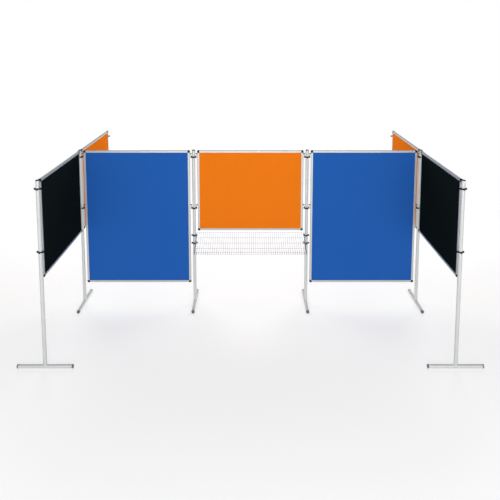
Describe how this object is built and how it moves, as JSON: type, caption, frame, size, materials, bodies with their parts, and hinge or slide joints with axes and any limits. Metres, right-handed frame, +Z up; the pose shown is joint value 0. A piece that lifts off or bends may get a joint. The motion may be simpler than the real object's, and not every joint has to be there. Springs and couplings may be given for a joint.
{
  "type": "pinboard partition wall",
  "caption": "Free-standing folding wall of framed felt pinboards hung by pins between round posts on T-feet, with a sloping wire rack for leaflets.",
  "frame": {"origin": "on the floor, under the centre of the whole wall's box as it stands at rest", "axes": "+Z up, +X along the row of three boards to the right as seen from the front, +Y away from the viewer, towards the side without the rack"},
  "size_m": [4.23, 2.491, 1.75],
  "materials": {
    "post_powder_coat": "satin light grey powder coat",
    "aluminium": "satin anodised extrusion",
    "black_plastic": "fine-grained moulded plastic",
    "blue_felt": "short-napped felt",
    "orange_felt": "short-napped felt",
    "black_felt": "short-napped felt",
    "rack_wire": "bright plated wire"
  },
  "bodies": {
    "centre_bay": {"post_centre_left": "post_powder_coat", "cap_centre_left": "black_plastic", "ring_centre_left_upper": "black_plastic", "ring_centre_left_lower": "black_plastic", "post_centre_right": "post_powder_coat", "cap_centre_right": "black_plastic", "ring_centre_right_upper": "black_plastic", "ring_centre_right_lower": "black_plastic"},
    "centre_board": {"board_centre": "orange_felt", "frame_centre": "aluminium"},
    "left_bay": {"post_corner_left": "post_powder_coat", "cap_corner_left": "black_plastic", "ring_corner_left_upper": "black_plastic", "ring_corner_left_lower": "black_plastic", "board_tall_left": "blue_felt", "frame_tall_left": "aluminium"},
    "right_bay": {"post_corner_right": "post_powder_coat", "cap_corner_right": "black_plastic", "ring_corner_right_upper": "black_plastic", "ring_corner_right_lower": "black_plastic", "board_tall_right": "blue_felt", "frame_tall_right": "aluminium"},
    "left_wing": {"post_near_left": "post_powder_coat", "cap_near_left": "black_plastic", "ring_near_left_upper": "black_plastic", "ring_near_left_lower": "black_plastic", "board_near_left": "black_felt", "frame_near_left": "aluminium"},
    "foot_near_left": {"foot_near_left": "post_powder_coat"},
    "foot_corner_left": {"foot_corner_left": "post_powder_coat"},
    "foot_centre_left": {"foot_centre_left": "post_powder_coat"},
    "foot_centre_right": {"foot_centre_right": "post_powder_coat"},
    "foot_corner_right": {"foot_corner_right": "post_powder_coat"},
    "right_wing": {"post_near_right": "post_powder_coat", "cap_near_right": "black_plastic", "ring_near_right_upper": "black_plastic", "ring_near_right_lower": "black_plastic", "board_near_right": "black_felt", "frame_near_right": "aluminium"},
    "foot_near_right": {"foot_near_right": "post_powder_coat"},
    "left_rear": {"board_rear_left": "orange_felt", "frame_rear_left": "aluminium"},
    "right_rear": {"board_rear_right": "orange_felt", "frame_rear_right": "aluminium"},
    "rack": {"rack_ring_left_upper": "black_plastic", "rack_ring_left_lower": "black_plastic", "rack_ring_right_upper": "black_plastic", "rack_ring_right_lower": "black_plastic", "rack_floor": "rack_wire", "rack_lip": "rack_wire", "rack_arm_left": "rack_wire", "rack_arm_right": "rack_wire"}
  },
  "joints": [
    {"name": "left_bay_swing", "type": "hinge", "parent": "centre_bay", "child": "left_bay", "pos_m": [-0.647, 0.028, 1.669], "axis": [0, 0, 1], "range_deg": [-25, 25]},
    {"name": "left_wing_swing", "type": "hinge", "parent": "left_bay", "child": "left_wing", "pos_m": [-1.86, 0.001, 1.669], "axis": [0, 0, 1], "range_deg": [-60, 60]},
    {"name": "left_rear_swing", "type": "hinge", "parent": "left_bay", "child": "left_rear", "pos_m": [-1.86, 0.055, 1.669], "axis": [0, 0, 1], "range_deg": [-60, 60]},
    {"name": "right_bay_swing", "type": "hinge", "parent": "centre_bay", "child": "right_bay", "pos_m": [0.647, 0.028, 1.669], "axis": [0, 0, 1], "range_deg": [-25, 25]},
    {"name": "right_wing_swing", "type": "hinge", "parent": "right_bay", "child": "right_wing", "pos_m": [1.86, 0.001, 1.669], "axis": [0, 0, 1], "range_deg": [-60, 60]},
    {"name": "right_rear_swing", "type": "hinge", "parent": "right_bay", "child": "right_rear", "pos_m": [1.86, 0.055, 1.669], "axis": [0, 0, 1], "range_deg": [-60, 60]},
    {"name": "centre_board_lift", "type": "slide", "parent": "centre_bay", "child": "centre_board", "axis": [0, 0, 1], "range_m": [0, 0.06]},
    {"name": "rack_slide", "type": "slide", "parent": "centre_bay", "child": "rack", "axis": [0, 0, 1], "range_m": [-0.45, 0]},
    {"name": "foot_swivel_near_left", "type": "hinge", "parent": "left_wing", "child": "foot_near_left", "pos_m": [-1.86, -1.212, 0.018], "axis": [0, 0, 1], "range_deg": [-90, 90]},
    {"name": "foot_swivel_corner_left", "type": "hinge", "parent": "left_bay", "child": "foot_corner_left", "pos_m": [-1.86, 0.028, 0.018], "axis": [0, 0, 1], "range_deg": [-90, 90]},
    {"name": "foot_swivel_centre_left", "type": "hinge", "parent": "centre_bay", "child": "foot_centre_left", "pos_m": [-0.62, 0.028, 0.018], "axis": [0, 0, 1], "range_deg": [-90, 90]},
    {"name": "foot_swivel_centre_right", "type": "hinge", "parent": "centre_bay", "child": "foot_centre_right", "pos_m": [0.62, 0.028, 0.018], "axis": [0, 0, 1], "range_deg": [-90, 90]},
    {"name": "foot_swivel_corner_right", "type": "hinge", "parent": "right_bay", "child": "foot_corner_right", "pos_m": [1.86, 0.028, 0.018], "axis": [0, 0, 1], "range_deg": [-90, 90]},
    {"name": "foot_swivel_near_right", "type": "hinge", "parent": "right_wing", "child": "foot_near_right", "pos_m": [1.86, -1.212, 0.018], "axis": [0, 0, 1], "range_deg": [-90, 90]}
  ]
}
